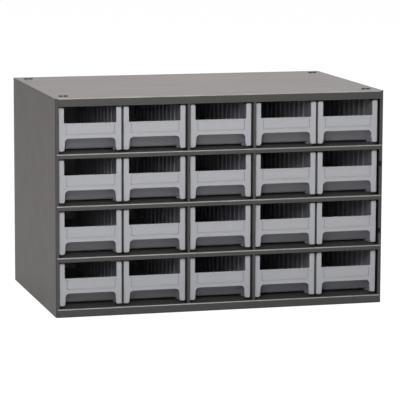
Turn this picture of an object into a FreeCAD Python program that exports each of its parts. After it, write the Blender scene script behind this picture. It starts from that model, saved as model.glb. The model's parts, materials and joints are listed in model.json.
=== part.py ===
import FreeCAD, Part
import math
import os

# A sheet-steel cabinet with four rows of five plastic drawers.
# Millimetres. X runs to the right of the front, Y to the back and Z up.
# The origin is the centre of the footprint, on the surface that the cabinet stands on.

# Case
case_width = 435.0
case_depth = 279.4
case_height = 279.4
row_count = 4
bay_drawers = (2, 1, 2)  # drawers side by side in each bay, from left to right

# Sheet steel
sheet = 1.0  # thickness
bend_radius = 1.5  # outer side of a rounded fold
weld_play = 0.1  # room left where sheets pass each other
top_lip = 10.5  # height of the top panel's front lip
bottom_lip = 10.6  # height of the bottom panel's lips, which lift its plate
shelf_lip = 5.9  # height of a shelf's front lip
rear_lip = 12.0  # height of the top panel's back lip
top_lip_inset = 3.5  # the top's front lip stops this far short of the case's side
lip_end_inset = 2.0  # and every other lip this far
side_flange = 4.5  # width of a side panel's front flange, behind the lips
back_flange = 12.0  # width of a side panel's back flange
weld_flange = 10.0  # width of the shelves' hidden flanges, which carry the spot welds
rim_flange = 9.0  # width of a side panel's top and bottom flanges
partition_flange = 3.3  # width of a partition's front flange

# Punched and pressed details
corner_side_inset = 15.9  # from the case's side to the middle of a pair of studs
corner_front_inset = 26.2  # from the case's front or back to the studs
stud_spacing = 6.4  # centre to centre in a pair
stud_width = 5.6  # of the round studs pressed up from the top panel
stud_height = 1.5
stud_rounding = 0.9  # of a stud's upper edge
bolt_hole = 5.0  # diameter of the holes in the bottom panel, one under each pair of studs
keyhole_spacing = 330.2  # between the two wall keyholes in the back panel
keyhole_drop = 40.0  # from the case's top to a keyhole's narrow end
keyhole_entry = 10.0  # diameter of a keyhole's wide end
keyhole_neck = 5.2  # width of a keyhole's narrow end
keyhole_rise = 9.0  # between the centres of the two ends
notch_rise = 44.2  # from mid-height to each notch in the front flanges
notch_height = 6.5
side_notch_depth = 3.0  # across the right side panel's flange, from its free edge
partition_notch_depth = 1.3
dimple_count = 3
dimple_spacing = 71.0
dimple_setback = 19.0  # behind the front edge of the shelf
dimple_width = 8.5
dimple_height = 1.0

# Drawer front
front_setback = 6.5  # from the lips back to the drawer fronts
front_play = 1.45  # between a drawer front and the flange beside it
pair_gap = 2.8  # between two drawers in one bay
front_lift = 2.7  # from the shelf to the bottom of the front
front_headroom = 2.05  # from the top of the front to the lip above
front_thickness = 2.4
front_rounding = 1.0  # of the front's outer edges
cutout_height = 15.9  # finger cut-out, above the bottom of the front
cutout_top_margin = 8.25  # from the front's side to the cut-out's upper corner
cutout_bottom_margin = 7.3  # and to its lower corner
cutout_corner = 4.75
window_height = 19.8  # open space between the posts, above the crossbar
window_margin = 6.85  # from the front's side
window_corner = 1.0
post_outer_corner = 1.6
post_inner_corner = 2.8
post_top_corner = 1.3
label_margin = 10.4  # from the front's side
label_height = 11.3
label_lift = 22.0  # above the bottom of the front
label_depth = 0.5
label_slot_width = 1.8
label_slot_overlap = 0.55  # a slot is this much longer than the recess at each end
label_slot_depth = 1.6
ledge_height = 1.2  # rib under the label recess
ledge_depth = 0.6
ledge_rounding = 0.45

# Drawer body
back_room = 2.0  # from the drawer's back to the back panel
wall = 1.5
wall_inset = 0.7  # the body is this much narrower than the front at each side
wall_headroom = 3.3  # the walls end this much below the top of the front
runner_play = 0.1  # from the shelf to the runners
runner_width = 3.0
runner_start = 14.0  # behind the front
runner_nose = 6.0  # radius where a wall curves down to its runner
floor_lift = 1.6  # from the shelf to the underside of the floor
slope_run = 27.0  # depth of the sloping front wall
slope_bend = 7.0  # inner radius where it meets the floor
back_bend = 3.5  # inner radius where the floor meets the back wall
wall_corner = 1.0
rib_start = 47.4  # behind the front
rib_pitch = 20.4
rib_width = 0.9
rib_slot = 1.8  # between the two ribs that hold a divider
rib_depth = 0.75
rib_headroom = 2.5  # ribs end this much below the wall's top
rib_rear_room = 10.0  # least distance from a rib to the back wall
stop_overlap = 2.3  # height by which the stop hump reaches behind the lip
stop_inset = 25.0  # from the drawer's back to the stop face
stop_length = 5.0  # flat top of the hump
stop_corner = 0.8
stop_play = 0.3  # left between hump and lip when the drawer is out

# Cutters pass this far beyond what they cut
overrun = 2.0

# Places worked out from the sizes
left = -case_width / 2
right = case_width / 2
front = -case_depth / 2
back = case_depth / 2
row_pitch = (case_height - top_lip - bottom_lip + shelf_lip) / row_count
row_clear = row_pitch - shelf_lip
flange_front = front + sheet
flange_back = back - sheet
back_panel_rear = flange_back - sheet
back_panel_front = back_panel_rear - sheet
plate_edge = right - sheet
top_lip_edge = right - top_lip_inset
lip_edge = right - lip_end_inset
top_underside = case_height - sheet
slot_end = 0

# Drawer sizes worked out from the case
drawer_total = sum(bay_drawers)
partition_total = len(bay_drawers) - 1
pair_total = drawer_total - len(bay_drawers)
side_room = side_flange + front_play
partition_room = partition_flange + 2 * front_play
free_width = case_width - 2 * side_room - partition_total * partition_room
drawer_width = (free_width - pair_total * pair_gap) / drawer_total
front_top = row_clear - front_headroom
bar_bottom = front_lift + cutout_height
bar_top = front_top - window_height
drawer_front = front + front_setback
drawer_depth = back_panel_front - back_room - drawer_front
body_half = drawer_width / 2 - wall_inset
inner_half = body_half - wall
wall_top = front_top - wall_headroom
floor_top = floor_lift + wall
stop_top = row_clear + stop_overlap
stop_face = drawer_depth - stop_inset
drawer_travel = drawer_front + stop_face - flange_front - stop_play


def point(x, y, z):
    return FreeCAD.Vector(x, y, z)


def across_x(x):
    """Plane square to X: an outline's coordinates are Y and Z."""
    return lambda y, z: point(x, y, z)


def across_y(y):
    """Plane square to Y: an outline's coordinates are X and Z."""
    return lambda x, z: point(x, y, z)


def across_z(z):
    """Plane square to Z: an outline's coordinates are X and Y."""
    return lambda x, y: point(x, y, z)


def block(x_low, x_high, y_low, y_high, z_low, z_high):
    """Box between two limits on each axis."""
    corner = point(x_low, y_low, z_low)
    return Part.makeBox(x_high - x_low, y_high - y_low, z_high - z_low, corner)


def ordered_block(x_one, x_other, y_one, y_other, z_low, z_high):
    """Box whose X and Y limits may come in either order."""
    x_limits = sorted((x_one, x_other))
    y_limits = sorted((y_one, y_other))
    return block(*x_limits, *y_limits, z_low, z_high)


def corner_arc(before, corner, after, radius):
    """Start, middle and end of the arc that rounds one corner of an outline."""
    toward_before = (before - corner).normalize()
    toward_after = (after - corner).normalize()
    half_angle = toward_before.getAngle(toward_after) / 2
    bisector = (toward_before + toward_after).normalize()
    reach = radius / math.tan(half_angle)
    centre = corner + bisector * (radius / math.sin(half_angle))
    return corner + toward_before * reach, centre - bisector * radius, corner + toward_after * reach


def outline_face(outline, plane):
    """Face inside a closed outline of (first coordinate, second coordinate, corner radius)."""
    corners = [plane(first, second) for first, second, radius in outline]
    turns = []
    for index, (first, second, radius) in enumerate(outline):
        corner = corners[index]
        following = corners[(index + 1) % len(corners)]
        if radius:
            turns.append(corner_arc(corners[index - 1], corner, following, radius))
        else:
            turns.append((corner, corner, corner))
    edges = []
    for index, (start, middle, end) in enumerate(turns):
        edges.append(Part.LineSegment(turns[index - 1][2], start).toShape())
        if start != end:
            edges.append(Part.Arc(start, middle, end).toShape())
    return Part.Face(Part.Wire(edges))


def folded_outline(path):
    """Outline of sheet folded along a path of its outer face.

    The path turns square and always the same way, and the sheet lies on the inner side.
    """
    steps = []
    for (first, second), (next_first, next_second) in zip(path, path[1:]):
        length = math.hypot(next_first - first, next_second - second)
        steps.append(((next_first - first) / length, (next_second - second) / length))
    turn = math.copysign(1, steps[0][0] * steps[1][1] - steps[0][1] * steps[1][0])
    inward = [(-turn * step[1] * sheet, turn * step[0] * sheet) for step in steps]
    outer = []
    inner = []
    for index, (first, second) in enumerate(path):
        ends_here = index in (0, len(path) - 1)
        near = inward[max(index - 1, 0):index + 1]
        outer.append((first, second, 0 if ends_here else bend_radius))
        inner.append((first + sum(n[0] for n in near), second + sum(n[1] for n in near), 0))
    return outer + inner[::-1]


def mirrored(shape):
    """The same shape on the other side of the case."""
    return shape.mirror(point(0, 0, 0), point(1, 0, 0))


def shelf_top(level):
    """Height of the surface that a row's drawers run on; level 0 is the bottom panel."""
    return bottom_lip + level * row_pitch


def bay_edges():
    """X of each drawer's centre and of each partition's centre, from left to right."""
    drawers = []
    partitions = []
    edge = left + side_room
    for bay, count in enumerate(bay_drawers):
        for place in range(count):
            drawers.append(edge + drawer_width / 2)
            edge += drawer_width + pair_gap
        edge -= pair_gap
        if bay < partition_total:
            partitions.append(edge + partition_room / 2)
        edge += partition_room
    return drawers, partitions


drawer_centres, partition_centres = bay_edges()


def partition_plate(centre):
    """X limits of a partition's plate, which lies at the left edge of its flange."""
    fold = centre - partition_flange / 2
    return fold, fold + sheet


def corner_places():
    """X and Y of the middle of each pair of studs and of the bolt hole under it."""
    x = right - corner_side_inset
    y = back - corner_front_inset
    return [(side * x, end * y) for side in (-1, 1) for end in (-1, 1)]


def add_studs(plate):
    """Top panel with its pairs of hollow round studs."""
    stud = Part.makeCylinder(stud_width / 2, stud_height + sheet / 2)
    rims = [edge for edge in stud.Edges if edge.BoundBox.ZMin > stud_height]
    stud = stud.makeFillet(stud_rounding, rims)
    hollow = Part.makeCylinder(stud_width / 2 - sheet, stud_height + overrun)
    studs = []
    hollows = []
    for x, y in corner_places():
        for place in (-1, 1):
            middle = x + place * stud_spacing / 2
            studs.append(stud.translated(point(middle, y, case_height - sheet / 2)))
            hollows.append(hollow.translated(point(middle, y, top_underside - overrun)))
    return plate.fuse(studs).cut(hollows).removeSplitter()


def add_dimples(plate, top):
    """Plate with its row of round dimples, pressed up from below near the front."""
    radius = ((dimple_width / 2) ** 2 + dimple_height ** 2) / (2 * dimple_height)
    caps = []
    hollows = []
    for index in range(dimple_count):
        x = (index - (dimple_count - 1) / 2) * dimple_spacing
        centre = point(x, front + dimple_setback, top + dimple_height - radius)
        ball = Part.makeSphere(radius, centre)
        half = dimple_width / 2 + overrun
        y = front + dimple_setback
        above = block(x - half, x + half, y - half, y + half, top - sheet / 2, top + overrun)
        caps.append(ball.common(above))
        hollows.append(ball.translated(point(0, 0, -sheet)))
    return plate.fuse(caps).cut(hollows).removeSplitter()


def top_panel():
    """Plate over the whole case, with studs and with a front lip and a back lip folded down."""
    path = [
        (front, case_height - top_lip),
        (front, case_height),
        (back, case_height),
        (back, case_height - rear_lip),
    ]
    face = outline_face(folded_outline(path), across_x(left))
    panel = face.extrude(point(case_width, 0, 0))
    low = case_height - max(top_lip, rear_lip) - overrun
    high = case_height + overrun
    cutters = []
    for side in (-1, 1):
        end = side * (right + overrun)
        front_end = (side * top_lip_edge, end, front - overrun, flange_front)
        back_end = (side * lip_edge, end, flange_back, back + overrun)
        cutters.append(ordered_block(*front_end, low, high))
        cutters.append(ordered_block(*back_end, low, high))
    return add_studs(panel.cut(cutters))


def bottom_panel():
    """Plate lifted on its front and back lips, notched round the side panels' flanges."""
    path = [(front, 0), (front, bottom_lip), (back, bottom_lip), (back, 0)]
    face = outline_face(folded_outline(path), across_x(-plate_edge))
    panel = face.extrude(point(2 * plate_edge, 0, 0))
    high = bottom_lip + overrun
    cutters = []
    for x, y in corner_places():
        cutters.append(Part.makeCylinder(bolt_hole / 2, high + overrun, point(x, y, -overrun)))
    for side in (-1, 1):
        end = side * (right + overrun)
        tip = side * lip_edge
        for rim, behind in ((front - overrun, flange_front), (back + overrun, flange_back)):
            cutters.append(ordered_block(tip, end, rim, behind, -overrun, high))
        neck = side * (right - side_flange - weld_play)
        past = flange_front + sheet + weld_play
        cutters.append(ordered_block(neck, end, flange_front, past, -overrun, high))
        neck = side * (right - back_flange - weld_play)
        past = flange_back - sheet - weld_play
        cutters.append(ordered_block(neck, end, flange_back, past, -overrun, high))
    return add_dimples(panel.cut(cutters), bottom_lip)


def shelf(level):
    """Plate with a front lip, hidden flanges at its other edges and slots for the partitions."""
    top = shelf_top(level)
    path = [
        (front, top - shelf_lip),
        (front, top),
        (back_panel_front, top),
        (back_panel_front, top - weld_flange),
    ]
    face = outline_face(folded_outline(path), across_x(-plate_edge))
    panel = face.extrude(point(2 * plate_edge, 0, 0))
    low = top - weld_flange - overrun
    high = top + overrun
    past_flange = flange_front + sheet + weld_play
    flanges = []
    cutters = []
    for side in (-1, 1):
        edge = side * plate_edge
        folded = edge - side * sheet
        flange = (edge, folded, past_flange, back_panel_front, top - weld_flange, top - sheet / 2)
        flanges.append(ordered_block(*flange))
        end = side * (right + overrun)
        neck = side * (right - side_flange - weld_play)
        cutters.append(ordered_block(side * lip_edge, end, front - overrun, flange_front, low, high))
        cutters.append(ordered_block(neck, end, flange_front, past_flange, low, high))
    for centre in partition_centres:
        plate_low, plate_high = partition_plate(centre)
        slot = (plate_low - weld_play, plate_high + weld_play, slot_end, back, low, high)
        cutters.append(block(*slot))
    return add_dimples(panel.fuse(flanges).cut(cutters), top)


def flange_notches(free_edge, inward, depth):
    """Cutters for the two notches in a front flange; inward points from its free edge to its fold."""
    notches = []
    for side in (-1, 1):
        middle = case_height / 2 + side * notch_rise
        low = middle - notch_height / 2
        outside = free_edge - inward * overrun
        inside = free_edge + inward * depth
        past = flange_front + sheet
        cutter = (outside, inside, front - overrun, past, low, low + notch_height)
        notches.append(ordered_block(*cutter))
    return notches


def side_panel():
    """Left plate of full height, with flanges folded in at its front, back, top and bottom."""
    path = [
        (left + side_flange, flange_front),
        (left, flange_front),
        (left, flange_back),
        (left + back_flange, flange_back),
    ]
    face = outline_face(folded_outline(path), across_z(0))
    panel = face.extrude(point(0, 0, top_underside))
    depth = (flange_front + sheet / 2, back_panel_front)
    flanges = []
    for low in (0, top_underside - sheet):
        flanges.append(block(left + sheet / 2, left + rim_flange, *depth, low, low + sheet))
    return panel.fuse(flanges).removeSplitter()


def right_side_panel():
    """The same plate on the right, with the notches in its front flange."""
    notches = flange_notches(right - side_flange, 1, side_notch_depth)
    return mirrored(side_panel()).cut(notches).removeSplitter()


def back_panel():
    """Flat plate inside the flanges and the top panel's back lip, with two wall keyholes."""
    plate = block(-plate_edge, plate_edge, back_panel_front, back_panel_rear, bottom_lip, top_underside)
    cutters = []
    through = back_panel_rear - back_panel_front + 2 * overrun
    start = back_panel_front - overrun
    for side in (-1, 1):
        x = side * keyhole_spacing / 2
        high = case_height - keyhole_drop
        low = high - keyhole_rise
        for z, width in ((high, keyhole_neck), (low, keyhole_entry)):
            hole = Part.makeCylinder(width / 2, through, point(x, start, z), point(0, 1, 0))
            cutters.append(hole)
        half = keyhole_neck / 2
        cutters.append(block(x - half, x + half, start, start + through, low, high))
    return plate.cut(cutters).removeSplitter()


def partition(centre):
    """Upright plate with a front flange, slotted from the front over every shelf."""
    free_edge = centre + partition_flange / 2
    fold = centre - partition_flange / 2
    path = [(free_edge, flange_front), (fold, flange_front), (fold, back_panel_front)]
    face = outline_face(folded_outline(path), across_z(bottom_lip))
    plate = face.extrude(point(0, 0, top_underside - bottom_lip))
    cutters = flange_notches(free_edge, -1, partition_notch_depth)
    for level in range(1, row_count):
        top = shelf_top(level)
        slot = (fold - overrun, free_edge + overrun, front, slot_end)
        cutters.append(block(*slot, top - sheet - weld_play, top + weld_play))
    return plate.cut(cutters).removeSplitter()


def drawer_frame():
    """Two posts and the crossbar between them, with rounded front edges and a label recess."""
    half = drawer_width / 2
    window = half - window_margin
    upper = half - cutout_top_margin
    lower = half - cutout_bottom_margin
    right_half = [
        (window, bar_top, window_corner),
        (window, front_top, post_top_corner),
        (half, front_top, post_top_corner),
        (half, front_lift, post_outer_corner),
        (lower, front_lift, post_inner_corner),
        (upper, bar_bottom, cutout_corner),
    ]
    left_half = [(-x, z, radius) for x, z, radius in reversed(right_half)]
    frame = outline_face(right_half + left_half, across_y(0)).extrude(point(0, front_thickness, 0))
    face_edges = [edge for edge in frame.Edges if edge.BoundBox.YMax < front_rounding / 2]
    frame = frame.makeFillet(front_rounding, face_edges)

    recess_low = front_lift + label_lift
    recess_high = recess_low + label_height
    recess_half = half - label_margin
    cutters = [block(-recess_half, recess_half, -overrun, label_depth, recess_low, recess_high)]
    for side in (-1, 1):
        near = side * recess_half
        far = near + side * label_slot_width
        low = recess_low - label_slot_overlap
        high = recess_high + label_slot_overlap
        cutters.append(ordered_block(near, far, -overrun, label_slot_depth, low, high))
    ledge_low = recess_low - ledge_height
    ledge = block(-recess_half, recess_half, -ledge_depth, label_depth, ledge_low, recess_low)
    ledge_edges = [edge for edge in ledge.Edges if edge.BoundBox.YMax < 0]
    return frame.cut(cutters).fuse(ledge.makeFillet(ledge_rounding, ledge_edges))


def drawer_tub():
    """Sloping front wall, floor and back wall in one strip of even thickness."""
    drop = bar_top - floor_top
    length = math.hypot(slope_run, drop)
    back_step = wall * drop / length
    up_step = wall * slope_run / length
    under_start = (front_thickness - back_step, bar_top - up_step)
    under_run = (under_start[1] - floor_lift) * slope_run / drop
    outline = [
        (front_thickness, bar_top, 0),
        (front_thickness + slope_run, floor_top, slope_bend),
        (drawer_depth - wall, floor_top, back_bend),
        (drawer_depth - wall, wall_top, 0),
        (drawer_depth, wall_top, 0),
        (drawer_depth, floor_lift, back_bend + wall),
        (under_start[0] + under_run, floor_lift, slope_bend + wall),
        (*under_start, 0),
    ]
    return outline_face(outline, across_x(-body_half)).extrude(point(2 * body_half, 0, 0))


def drawer_wall():
    """Right wall, with the runner's foot at the bottom and the stop hump on top."""
    inside_frame = front_thickness / 2
    hump_height = stop_top - wall_top
    hump_end = stop_face + stop_length
    outline = [
        (inside_frame, front_lift + runner_play + wall, 0),
        (runner_start, runner_play, runner_nose),
        (drawer_depth, runner_play, wall_corner),
        (drawer_depth, wall_top, wall_corner),
        (hump_end + hump_height, wall_top, wall_corner),
        (hump_end, stop_top, stop_corner),
        (stop_face, stop_top, stop_corner),
        (stop_face, wall_top, stop_corner),
        (inside_frame, wall_top, 0),
    ]
    return outline_face(outline, across_x(inner_half)).extrude(point(wall, 0, 0))


def drawer_details():
    """Right runner and the ribs on the right wall that hold dividers."""
    details = []
    runner = (body_half - runner_width, body_half, front_thickness + slope_run, drawer_depth - back_bend)
    details.append(block(*runner, runner_play, floor_lift + wall / 2))
    last = drawer_depth - wall - rib_rear_room
    rib_total = int((last - rib_start) / rib_pitch) + 1
    for index in range(rib_total):
        for side in (-1, 1):
            middle = rib_start + index * rib_pitch + side * (rib_slot + rib_width) / 2
            near = middle - rib_width / 2
            rib = (inner_half - rib_depth, inner_half + wall / 2, near, near + rib_width)
            details.append(block(*rib, floor_lift + wall / 2, wall_top - rib_headroom))
    return details


def drawer():
    """One moulding, with its front face at Y 0 and the shelf under it at Z 0."""
    right_pieces = [drawer_wall()] + drawer_details()
    left_pieces = [mirrored(piece) for piece in right_pieces]
    return drawer_frame().fuse([drawer_tub()] + right_pieces + left_pieces).removeSplitter()


def export(shape, name):
    """One node as its own file."""
    if not shape.isValid():
        raise ValueError(name + " is not a valid shape")
    shape.exportStep(os.path.join("parts", name + ".step"))
    print(name, len(shape.Solids), "solid", round(shape.Volume), "mm3")


os.makedirs("parts", exist_ok=True)

export(top_panel(), "top_panel")
export(bottom_panel(), "bottom_panel")
export(side_panel(), "left_side_panel")
export(right_side_panel(), "right_side_panel")
export(back_panel(), "back_panel")
shelf_names = ("lower_shelf", "middle_shelf", "upper_shelf")
for level, name in enumerate(shelf_names, start=1):
    export(shelf(level), name)
for name, centre in zip(("left_partition", "right_partition"), partition_centres):
    export(partition(centre), name)

one_drawer = drawer()
for row in range(row_count):
    for column, centre in enumerate(drawer_centres, start=1):
        place = point(centre, drawer_front, shelf_top(row_count - 1 - row))
        export(one_drawer.translated(place), f"drawer_row_{row + 1}_column_{column}")

print("drawer travel", round(drawer_travel, 3))
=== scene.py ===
# %% [markdown]
# # A steel cabinet with twenty small-parts drawers
#
# The real cabinet is folded and spot-welded sheet steel with a satin grey powder coat. Twenty
# drawers of pale grey moulded plastic run on its shelves. All of these pieces are rigid and come
# from the frame with their true shapes, so this lesson is about what they are made of, the light
# that falls on them and the place of the camera.
#
# The frame is loaded first. Every length is in metres: X runs along the front, Y to the back and
# Z up, and the cabinet stands on Z 0. The box is noted at once.

# %% Load the frame
import json
import math

import bpy
import numpy as np
from mathutils import Matrix, Vector


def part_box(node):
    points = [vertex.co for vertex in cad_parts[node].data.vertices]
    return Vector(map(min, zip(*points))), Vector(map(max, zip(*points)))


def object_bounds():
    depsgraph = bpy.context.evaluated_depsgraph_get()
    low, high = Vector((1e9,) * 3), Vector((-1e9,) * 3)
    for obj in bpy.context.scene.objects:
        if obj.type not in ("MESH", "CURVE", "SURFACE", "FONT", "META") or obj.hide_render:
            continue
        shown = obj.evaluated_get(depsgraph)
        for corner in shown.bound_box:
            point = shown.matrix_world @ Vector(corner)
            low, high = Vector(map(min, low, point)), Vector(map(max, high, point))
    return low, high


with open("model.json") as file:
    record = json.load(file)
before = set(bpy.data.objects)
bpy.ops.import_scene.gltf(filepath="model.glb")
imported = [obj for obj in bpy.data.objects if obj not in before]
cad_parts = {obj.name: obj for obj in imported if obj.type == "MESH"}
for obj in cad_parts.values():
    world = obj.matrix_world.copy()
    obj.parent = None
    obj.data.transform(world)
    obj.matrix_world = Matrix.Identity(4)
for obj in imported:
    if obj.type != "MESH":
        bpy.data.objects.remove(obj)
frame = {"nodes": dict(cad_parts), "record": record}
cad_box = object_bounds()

low, high = (Vector(corner) for corner in cad_box)
size = high - low
middle = (low + high) / 2
print("cabinet", [round(1000 * side, 1) for side in size], "mm")

# %% [markdown]
# ## Which piece gets which finish
#
# The record says for every piece which of two finishes it has. The lists are read from there, so
# that a piece added to the cabinet later gets its finish without a change here.

# %% Sort the pieces by finish
slot_of = {part["node"]: part["material_slot"] for part in frame["record"]["subparts"]}
steel_pieces = sorted(name for name, slot in slot_of.items() if slot == "case_paint")
drawers = sorted(name for name, slot in slot_of.items() if slot == "drawer_plastic")
print(len(steel_pieces), "steel pieces,", len(drawers), "drawers")

# %% [markdown]
# ## Writing a finish as arithmetic
#
# A finish is a picture of numbers over the surface: a little darker here, a little rougher there.
# Blender stores it as a graph of nodes. The graph could be built by hand, one link at a time, but
# then the formula is lost among the wires. Here a small class wraps the output of a node, and its
# operators add the Math nodes, so that the code reads like the formula.

# %% A value that varies over a surface
class Field:
    """The output of a node. +, -, *, / and ** add Math nodes and give another field."""

    def __init__(self, finish, socket):
        self.finish = finish
        self.socket = socket

    def math(self, operation, *values):
        node = self.finish.node("ShaderNodeMath", {"operation": operation}, dict(enumerate(values)))
        return Field(self.finish, node.outputs[0])

    def __add__(self, other):
        return self.math("ADD", self, other)

    def __sub__(self, other):
        return self.math("SUBTRACT", self, other)

    def __rsub__(self, other):
        return self.math("SUBTRACT", other, self)

    def __mul__(self, other):
        return self.math("MULTIPLY", self, other)

    def __truediv__(self, other):
        return self.math("DIVIDE", self, other)

    def __pow__(self, other):
        return self.math("POWER", self, other)

    __radd__ = __add__
    __rmul__ = __mul__

    def size(self):
        return self.math("ABSOLUTE", self)

    def least(self, other):
        return self.math("MINIMUM", self, other)

    def most(self, other):
        return self.math("MAXIMUM", self, other)

    def beat(self, length):
        """Distance from the nearest whole multiple of a length, for a mark that repeats."""
        return self.math("PINGPONG", self + length / 2, length / 2)

    def step(self, start, end):
        """0 before start, 1 after end and smooth between; the two may come in either order."""
        kind = {"interpolation_type": "SMOOTHSTEP"}
        turned = start > end
        ends = {"From Min": min(start, end), "From Max": max(start, end)}
        ends.update({"To Min": float(turned), "To Max": float(not turned)})
        node = self.finish.node("ShaderNodeMapRange", kind, {"Value": self, **ends})
        return Field(self.finish, node.outputs["Result"])


# %% [markdown]
# A finish also needs nodes that aren't arithmetic, such as noise. One method makes any of them: it
# takes the node's type, then its settings, then what goes into its sockets. The settings come
# first because some of them change which sockets there are.

# %% A graph of nodes
class Graph:
    """The nodes of a material or of the room, under construction."""

    def __init__(self, tree):
        self.tree = tree
        tree.nodes.clear()

    def node(self, kind, settings, sockets):
        node = self.tree.nodes.new(kind)
        for name, value in settings.items():
            setattr(node, name, value)
        for name, value in sockets.items():
            self.fill(node.inputs[name], value)
        return node

    def fill(self, socket, value):
        if isinstance(value, Field):
            self.tree.links.new(value.socket, socket)
        else:
            socket.default_value = value

    def place(self, origin=(0, 0, 0), scale=(1, 1, 1)):
        """The surface's own coordinates in metres, counted from an origin, then scaled."""
        shift = [-start * factor for start, factor in zip(origin, scale)]
        coordinates = self.node("ShaderNodeTexCoord", {}, {})
        own = Field(self, coordinates.outputs["Object"])
        mapping = self.node("ShaderNodeMapping", {}, {"Vector": own, "Location": shift, "Scale": scale})
        return Field(self, mapping.outputs["Vector"])

    def axes(self, place):
        """X, Y and Z of a place, as three fields."""
        node = self.node("ShaderNodeSeparateXYZ", {}, {"Vector": place})
        return [Field(self, node.outputs[axis]) for axis in "XYZ"]

    def noise(self, place, grain, detail=2.0):
        """Soft noise from 0 to 1 whose lumps are about one grain wide, in metres."""
        sockets = {"Vector": place, "Scale": 1 / grain, "Detail": detail}
        node = self.node("ShaderNodeTexNoise", {"noise_dimensions": "3D"}, sockets)
        return Field(self, node.outputs["Fac"])

    def blend(self, share, one, other):
        """Colour one where share is 0 and the other where it is 1."""
        node = self.node("ShaderNodeMix", {"data_type": "RGBA"}, {0: share, 6: one, 7: other})
        return Field(self, node.outputs[2])

    def relief(self, height, depth):
        """Surface normal of a relief whose height runs from 0 to 1 over a depth in metres."""
        sockets = {"Height": height, "Distance": depth, "Strength": 1.0}
        return Field(self, self.node("ShaderNodeBump", {}, sockets).outputs["Normal"])

    def ray(self, kind):
        """1 for a ray of one kind, such as Is Camera Ray, else 0."""
        return Field(self, self.node("ShaderNodeLightPath", {}, {}).outputs[kind])


# %% [markdown]
# A finish is such a graph with a shader at its end. Numbers that are the same all over the surface
# go straight onto the shader's own sockets.

# %% A finish
class Finish(Graph):
    """A material under construction."""

    def __init__(self, name, **constants):
        self.material = bpy.data.materials.new(name)
        self.material.use_nodes = True
        super().__init__(self.material.node_tree)
        self.shader = self.node("ShaderNodeBsdfPrincipled", {}, constants)
        surface = Field(self, self.shader.outputs[0])
        self.end = self.node("ShaderNodeOutputMaterial", {}, {"Surface": surface})

    def finish(self, **fields):
        for name, value in fields.items():
            self.fill(self.shader.inputs[name.replace("_", " ")], value)
        return self.material


def shade(colour, factor=1.0):
    """An opaque linear colour, made lighter or darker."""
    return (*(part * factor for part in colour), 1.0)


# %% [markdown]
# ## The powder coat
#
# The case is sprayed with dry polyester powder that melts into one even film in an oven. It isn't
# quite flat: while it flows it draws into soft lumps about two millimetres across, the orange
# peel, with a much finer grain on top. It is satin, so it keeps a broad, weak reflection that
# grows towards grazing views: that is why the top looks far lighter than the front lips.
#
# An even grey with a fixed gloss would look like paper. So the tone drifts slowly over each sheet,
# fine grains are lighter or darker, hands and rags have left areas that are a little smoother, and
# two scales of noise give the relief.

# %% Tone, gloss and relief of the coat
coat_colour = (0.058, 0.0563, 0.054)
coat_roughness = 0.35
coat_relief = 0.00003
tone_drift = 0.09
wiped_patch = 0.03
peel = 0.0021
grain = 0.0004


def coat_fields(finish):
    """Tone, roughness and height of the powder coat over a piece."""
    place = finish.place()
    drift = finish.noise(place, tone_drift, 3.0)
    speck = finish.noise(place, grain, 1.0)
    wiped = finish.noise(finish.place(scale=(0.35, 1, 1)), wiped_patch, 4.0)
    tone = 0.35 * drift + 0.65 * speck
    rough = coat_roughness + 0.08 * (1 - wiped) + 0.04 * speck
    height = 0.8 * finish.noise(place, peel, 2.0) + 0.2 * speck
    return tone, rough, height


# %% [markdown]
# ## Weld marks
#
# Nothing is riveted or screwed in this case. Where a hidden flange lies against another sheet, two
# copper tips have squeezed and melted the pair together, and each weld leaves a shallow round dent
# that the coat softens but doesn't fill. The dents could be cut into the sheet, but they are only
# a few hundredths of a millimetre deep, so they belong in the relief. They repeat at an even
# pitch, and the distance to the nearest one is found by folding a coordinate on that pitch.

# %% Dents along the back of the case
weld_width = 0.006
weld_pitch = 0.054


def weld_dents(finish, levels):
    """1 in each weld dent of the back panel, in one row along each shelf behind it."""
    x, _, z = finish.axes(finish.place())
    along = x.beat(weld_pitch)
    dents = None
    for level in levels:
        away = (along * along + (z - level) * (z - level)) ** 0.5
        dent = away.step(weld_width / 2, weld_width / 4)
        dents = dent if dents is None else dents.most(dent)
    return dents


# %% [markdown]
# ## Painted highlights on the folds
#
# The folds above the front lips show a bright line along the front of the case. That line is
# painted into the coat as a pale colour on each fold, with a little less roughness, in place of
# a highlight of light on the bend. The line lies exactly on the bend: there y grows by less than z
# does, seen from the height where the flat lip ends, and everywhere else on the piece it is the
# other way round.

# %% Where the folds are
highlight_colour = (0.52, 0.51, 0.49)
flat_slack = 0.0001
fold_edge = (0.0003, -0.0002)
stretch_length = 0.02


def fold_start(name):
    """Height in metres at which a piece's flat front lip ends and its fold begins."""
    vertices = frame["nodes"][name].data.vertices
    points = np.empty(3 * len(vertices))
    vertices.foreach_get("co", points)
    points = points.reshape(-1, 3)
    return float(points[points[:, 1] < low.y + flat_slack, 2].max())


def fold_highlight(finish, start):
    """1 on the fold, where a highlight is painted, with fainter and stronger stretches along it."""
    _, y, z = finish.axes(finish.place())
    on_fold = ((y - low.y) + (start - z)).step(*fold_edge)
    stretch = finish.noise(finish.place(scale=(1, 0.1, 0.1)), stretch_length, 4.0)
    return on_fold * (0.6 + 0.7 * stretch).least(1.0)
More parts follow.
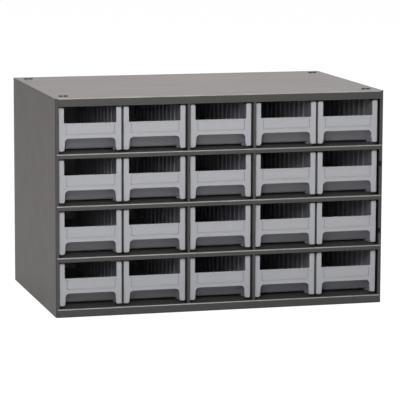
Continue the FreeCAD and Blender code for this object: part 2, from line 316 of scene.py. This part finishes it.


# %% [markdown]
# The coat is the same on every sheet. A piece with a painted fold highlight or with weld dents gets a
# material of its own from the same recipe.

# %% Coat the case
def powder_coat(name, start=None, dents=None):
    finish = Finish(name, IOR=1.5)
    tone, rough, height = coat_fields(finish)
    colour = finish.blend(tone, shade(coat_colour, 0.90), shade(coat_colour, 1.10))
    if start is not None:
        # Painted highlight on the fold: a pale line in the colour, and a slightly lower roughness.
        highlight_share = fold_highlight(finish, start)
        colour = finish.blend(highlight_share, colour, shade(highlight_colour))
        rough = rough - 0.06 * highlight_share
    if dents is not None:
        height = height - 2.5 * weld_dents(finish, dents)
    return finish.finish(Base_Color=colour, Roughness=rough, Normal=finish.relief(height, coat_relief))


def wear(name, material):
    materials = frame["nodes"][name].data.materials
    materials.clear()
    materials.append(material)


shelves = ["upper_shelf", "middle_shelf", "lower_shelf"]
under_shelf = 0.005
shelf_levels = [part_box(name)[1].z - under_shelf for name in reversed(shelves)]
lipped = ["top_panel", "bottom_panel"] + shelves
coats = {name: powder_coat("coat_" + name, start=fold_start(name)) for name in lipped}
coats["back_panel"] = powder_coat("coat_back_panel", dents=shelf_levels)
plain_coat = powder_coat("coat_plain")
for name in steel_pieces:
    wear(name, coats.get(name, plain_coat))
print("coated", len(steel_pieces), "pieces")

# %% [markdown]
# ## The moulded drawers
#
# Each drawer is one shot of pale, slightly bluish grey plastic. The mould leaves its own story on
# it: a fine matt texture on the front, a smoother inside, faint flow lines that fan out from the
# gate in the floor, round marks where pins pushed it out, and runners that are rubbed by the
# shelf. These marks are counted from the middle of a drawer's own front, so each drawer has its own
# material from one recipe. The slow drift of tone is counted from the middle of the cabinet instead,
# so it differs from drawer to drawer as it does in a batch.
#
# The numbers below are lengths in metres, apart from the colour and the roughness. A pair holds the
# two ends of a soft edge.

# %% The plastic's numbers
plastic_colour = (0.430, 0.436, 0.464)
plastic_roughness = 0.36
plastic_relief = 0.000018
batch_drift = 0.11
cloud_width = 0.012
etching = 0.0005
scratch_width = 0.0006
gate_depth = 0.14
flow_width = 0.004
flow_bend = 0.03
pin_width = 0.007
pin_rows = 0.026
pin_pitch = 0.075
first_pin = 0.02
ring_edge = (0.0005, 0.0001)
drawer_floor = (0.006, 0.005)
front_back = (0.004, 0.0025)
runner_top = (0.003, 0.001)
lip_bottom = (0.019, 0.0205)
lip_top = (0.0265, 0.024)


def drawer_origin(name):
    """The middle of a drawer's front at the height of its runners."""
    near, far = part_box(name)
    return Vector(((near.x + far.x) / 2, near.y, near.z))


# %% [markdown]
# Flow lines are rings round the gate, bent by noise, as melted plastic slows and quickens while it
# fills the mould. Pin marks are rings too, but sharp: a thin groove round the end of each pin.

# %% Flow lines and pin marks
def flow_lines(finish, origin):
    """Weak waves round the gate, in the middle of the floor."""
    x, y, z = finish.axes(finish.place(origin))
    bend = finish.noise(finish.place(origin), 0.05, 2.0)
    along = y - gate_depth
    reach = (x * x + along * along + z * z) ** 0.5 + flow_bend * bend
    return reach.beat(flow_width) / (flow_width / 2)


def pin_marks(finish, origin):
    """1 on the thin ring round each ejector pin, on the floor only."""
    x, y, z = finish.axes(finish.place(origin))
    across = x.size() - pin_rows
    along = (y - first_pin).beat(pin_pitch)
    away = (across * across + along * along) ** 0.5
    ring = (away - pin_width / 2).size().step(*ring_edge)
    return ring * z.step(*drawer_floor)


# %% [markdown]
# The front is matt because its half of the mould is etched, and the inside is smoother because
# that half is polished so that the drawer lets go of it. The lip of the finger cut-out is touched
# every day, which polishes it, and the runners are scratched along the way they slide.

# %% Mould the drawers
def moulded(name):
    origin = drawer_origin(name)
    finish = Finish("plastic_" + name.replace("drawer_", ""), IOR=1.49)
    place = finish.place(origin)
    _, y, z = finish.axes(place)

    drift = finish.noise(finish.place(), batch_drift, 2.0)
    cloud = finish.noise(place, cloud_width, 3.0)
    flow = flow_lines(finish, origin)
    tone = 0.4 * drift + 0.35 * cloud + 0.25 * flow
    colour = finish.blend(tone, shade(plastic_colour, 0.94), shade(plastic_colour, 1.05))

    outside = y.step(*front_back)
    scratched = finish.noise(finish.place(origin, (1, 0.02, 1)), scratch_width, 2.0)
    runner = z.step(*runner_top)
    touched = outside * z.step(*lip_bottom) * z.step(*lip_top)
    rough = plastic_roughness + 0.12 * outside + 0.08 * cloud + 0.2 * runner * scratched - 0.10 * touched

    etched = finish.noise(place, etching, 2.0)
    moulding = (0.35 + 0.65 * outside) * etched + 0.8 * flow * (1 - outside)
    height = moulding - 1.5 * pin_marks(finish, origin)
    return finish.finish(Base_Color=colour, Roughness=rough, Normal=finish.relief(height, plastic_relief))


for name in drawers:
    wear(name, moulded(name))
print("moulded", len(drawers), "drawers")

# %% [markdown]
# ## The floor
#
# The cabinet stands on a seamless white surface that runs out of sight. One flat square would do,
# but its edge shows from low views, so the floor is a round sheet on a grid of angle and radius,
# fine near the cabinet and coarse far away. To the camera it is mostly plain white and to
# reflections about a third; the rest of it is a matt surface that catches the soft shadow round
# the cabinet's foot and sends a little light back up.

# %% Roll out the floor
def floor_sheet(name, radius, rings=24, spokes=96):
    """Round sheet: x = r cos t, y = r sin t, z = 0, with r = radius * u ** 2 for u from 0 to 1."""
    angle = np.linspace(0, 2 * math.pi, spokes, endpoint=False)
    reach = radius * np.linspace(0, 1, rings + 1)[1:] ** 2
    x = np.outer(reach, np.cos(angle))
    y = np.outer(reach, np.sin(angle))
    points = np.stack([x, y, np.zeros_like(x)], axis=-1).reshape(-1, 3)
    points = np.vstack([points, np.zeros((1, 3))])
    ring, spoke = np.meshgrid(np.arange(rings - 1), np.arange(spokes), indexing="ij")
    after = (spoke + 1) % spokes
    near, far = ring * spokes, (ring + 1) * spokes
    quads = np.stack([near + spoke, far + spoke, far + after, near + after], axis=-1).reshape(-1, 4)
    first = np.arange(spokes)
    middle_fan = np.stack([np.full(spokes, len(points) - 1), first, (first + 1) % spokes], axis=-1)
    mesh = bpy.data.meshes.new(name)
    mesh.from_pydata(points.tolist(), [], quads.tolist() + middle_fan.tolist())
    sheet = bpy.data.objects.new(name, mesh)
    bpy.context.scene.collection.objects.link(sheet)
    return sheet


floor_radius = 12.0
floor_colour = (0.86, 0.86, 0.86)
plain = (1, 1, 1)
warm = (1.0, 0.955, 0.94)
glow_strength = 1.17
glow_seen, glow_reflected = 0.84, 0.335

floor = floor_sheet("floor", floor_radius)
white = Finish("floor_white", Roughness=0.9)
white.fill(white.shader.inputs["Base Color"], shade(floor_colour))
straight = white.ray("Is Camera Ray").most(white.ray("Is Transmission Ray"))
seen = straight * glow_seen + white.ray("Is Glossy Ray") * glow_reflected
matt = Field(white, white.shader.outputs[0])
tint = white.blend(white.ray("Is Camera Ray"), shade(warm), shade(plain))
glowing = white.node("ShaderNodeEmission", {}, {"Color": tint, "Strength": glow_strength})
mixed = white.node("ShaderNodeMixShader", {}, {0: seen, 1: matt, 2: Field(white, glowing.outputs[0])})
white.fill(white.end.inputs["Surface"], Field(white, mixed.outputs[0]))
floor.data.materials.append(white.material)
print("floor", len(floor.data.polygons), "faces")

# %% [markdown]
# ## The light
#
# Three soft lamps stand in front. The strongest is right of the middle and fairly high, one is on
# the left near the camera's own direction, and a weak one hangs low and reaches the sloping walls
# under the label bars. Their light falls off quickly, so the upper rows are lighter than the lower
# ones, and what lies deep inside a drawer is nearly black. Three wide, weak lamps to the left, to
# the right and behind are a little warm, like light that comes back from the walls of a room, and
# give the side and the top their tone.
#
# A lamp is described by where it stands as seen from the cabinet and by how bright it makes a
# surface that faces it, because that is what matters to the colours. Its power follows from the
# distance: brightness is power / (pi * distance) squared, so at 1 a colour renders as it is written.

# %% Hang the lamps
def soft_lamp(name, azimuth, elevation, distance, width, brightness, colour):
    """Round lamp; azimuth 0 is straight in front and grows to the right, both angles in degrees."""
    turn, rise = math.radians(azimuth), math.radians(elevation)
    away = Vector((math.sin(turn) * math.cos(rise), -math.cos(turn) * math.cos(rise), math.sin(rise)))
    data = bpy.data.lights.new(name, "AREA")
    data.shape = "DISK"
    data.size = width
    data.energy = brightness * (math.pi * distance) ** 2
    data.color = colour
    lamp = bpy.data.objects.new(name, data)
    lamp.location = middle + away * distance
    lamp.rotation_euler = away.to_track_quat("Z", "Y").to_euler()
    lamp.visible_camera = False
    bpy.context.scene.collection.objects.link(lamp)
    print(name, round(data.energy, 1), "W")


# name, azimuth, elevation, distance, width, brightness, colour
lamps = [
    ("key_lamp", -22, 20, 1.7, 0.5, 0.255, plain),
    ("front_lamp", 4, 30, 1.8, 0.5, 0.310, plain),
    ("low_lamp", -15, 8, 2.2, 0.7, 0.054, plain),
    ("left_lamp", -115, 35, 3.2, 2.0, 0.28, warm),
    ("right_lamp", 115, 35, 3.2, 2.0, 0.28, warm),
    ("back_lamp", 165, 38, 3.2, 2.2, 0.11, warm),
]
for lamp in lamps:
    soft_lamp(*lamp)

# %% [markdown]
# The room itself adds almost nothing to the light on the cabinet, or the insides of the drawers
# would turn grey. The camera sees it plain white, like the photograph's background. A reflection
# sees it white towards the back and dim towards the front: the satin top, seen at a grazing angle,
# mirrors the back of the room, and the fronts mirror the dim part behind the camera.

# %% Light the room
ambient, front_glare = 0.02, 0.05

world = bpy.data.worlds.new("white_room")
world.use_nodes = True
room = Graph(world.node_tree)
toward = Field(room, room.node("ShaderNodeTexCoord", {}, {}).outputs["Generated"])
behind = room.axes(toward)[1].step(-0.2, 0.6)
reflected = front_glare + (1 - front_glare) * behind
seen = room.ray("Is Camera Ray").most(room.ray("Is Transmission Ray"))
strength = ambient + seen * (1 - ambient) + room.ray("Is Glossy Ray") * (reflected - ambient)
tint = room.blend(seen, shade(warm), shade(plain))
lit = room.node("ShaderNodeBackground", {}, {"Color": tint, "Strength": strength})
room.node("ShaderNodeOutputWorld", {}, {"Surface": Field(room, lit.outputs[0])})
bpy.context.scene.world = world
print("room at", ambient)

# %% [markdown]
# ## The camera
#
# A long lens a few metres away, a little to the left and a little above, as the photograph's lines
# show. Its place was worked out from the seven corners of the case that can be seen: the only
# lens, place and turn that put all seven where they are. The three directions of the camera are
# built from two angles and a slight roll.

# %% Set up the camera
azimuth, elevation, roll = 0.26585, 0.14909, 0.00364
camera_place = (-0.819971, -3.043606, 0.596758)
focal_length, sensor_width = 214.18, 36.0
far_end = 60.0

level = Vector((math.cos(azimuth), -math.sin(azimuth), 0))
ahead = Vector((math.sin(azimuth), math.cos(azimuth), 0))
forward = math.cos(elevation) * ahead - math.sin(elevation) * Vector((0, 0, 1))
upright = level.cross(forward)
right = math.cos(roll) * level + math.sin(roll) * upright
up = math.cos(roll) * upright - math.sin(roll) * level

lens = bpy.data.cameras.new("camera")
lens.lens = focal_length
lens.sensor_width = sensor_width
lens.clip_end = far_end
camera = bpy.data.objects.new("camera", lens)
turned = Matrix((right, up, -forward)).transposed().to_4x4()
camera.matrix_world = Matrix.Translation(camera_place) @ turned
bpy.context.scene.collection.objects.link(camera)
bpy.context.scene.camera = camera
bpy.context.scene.view_settings.view_transform = "Standard"
print("camera", [round(c, 3) for c in camera.location])
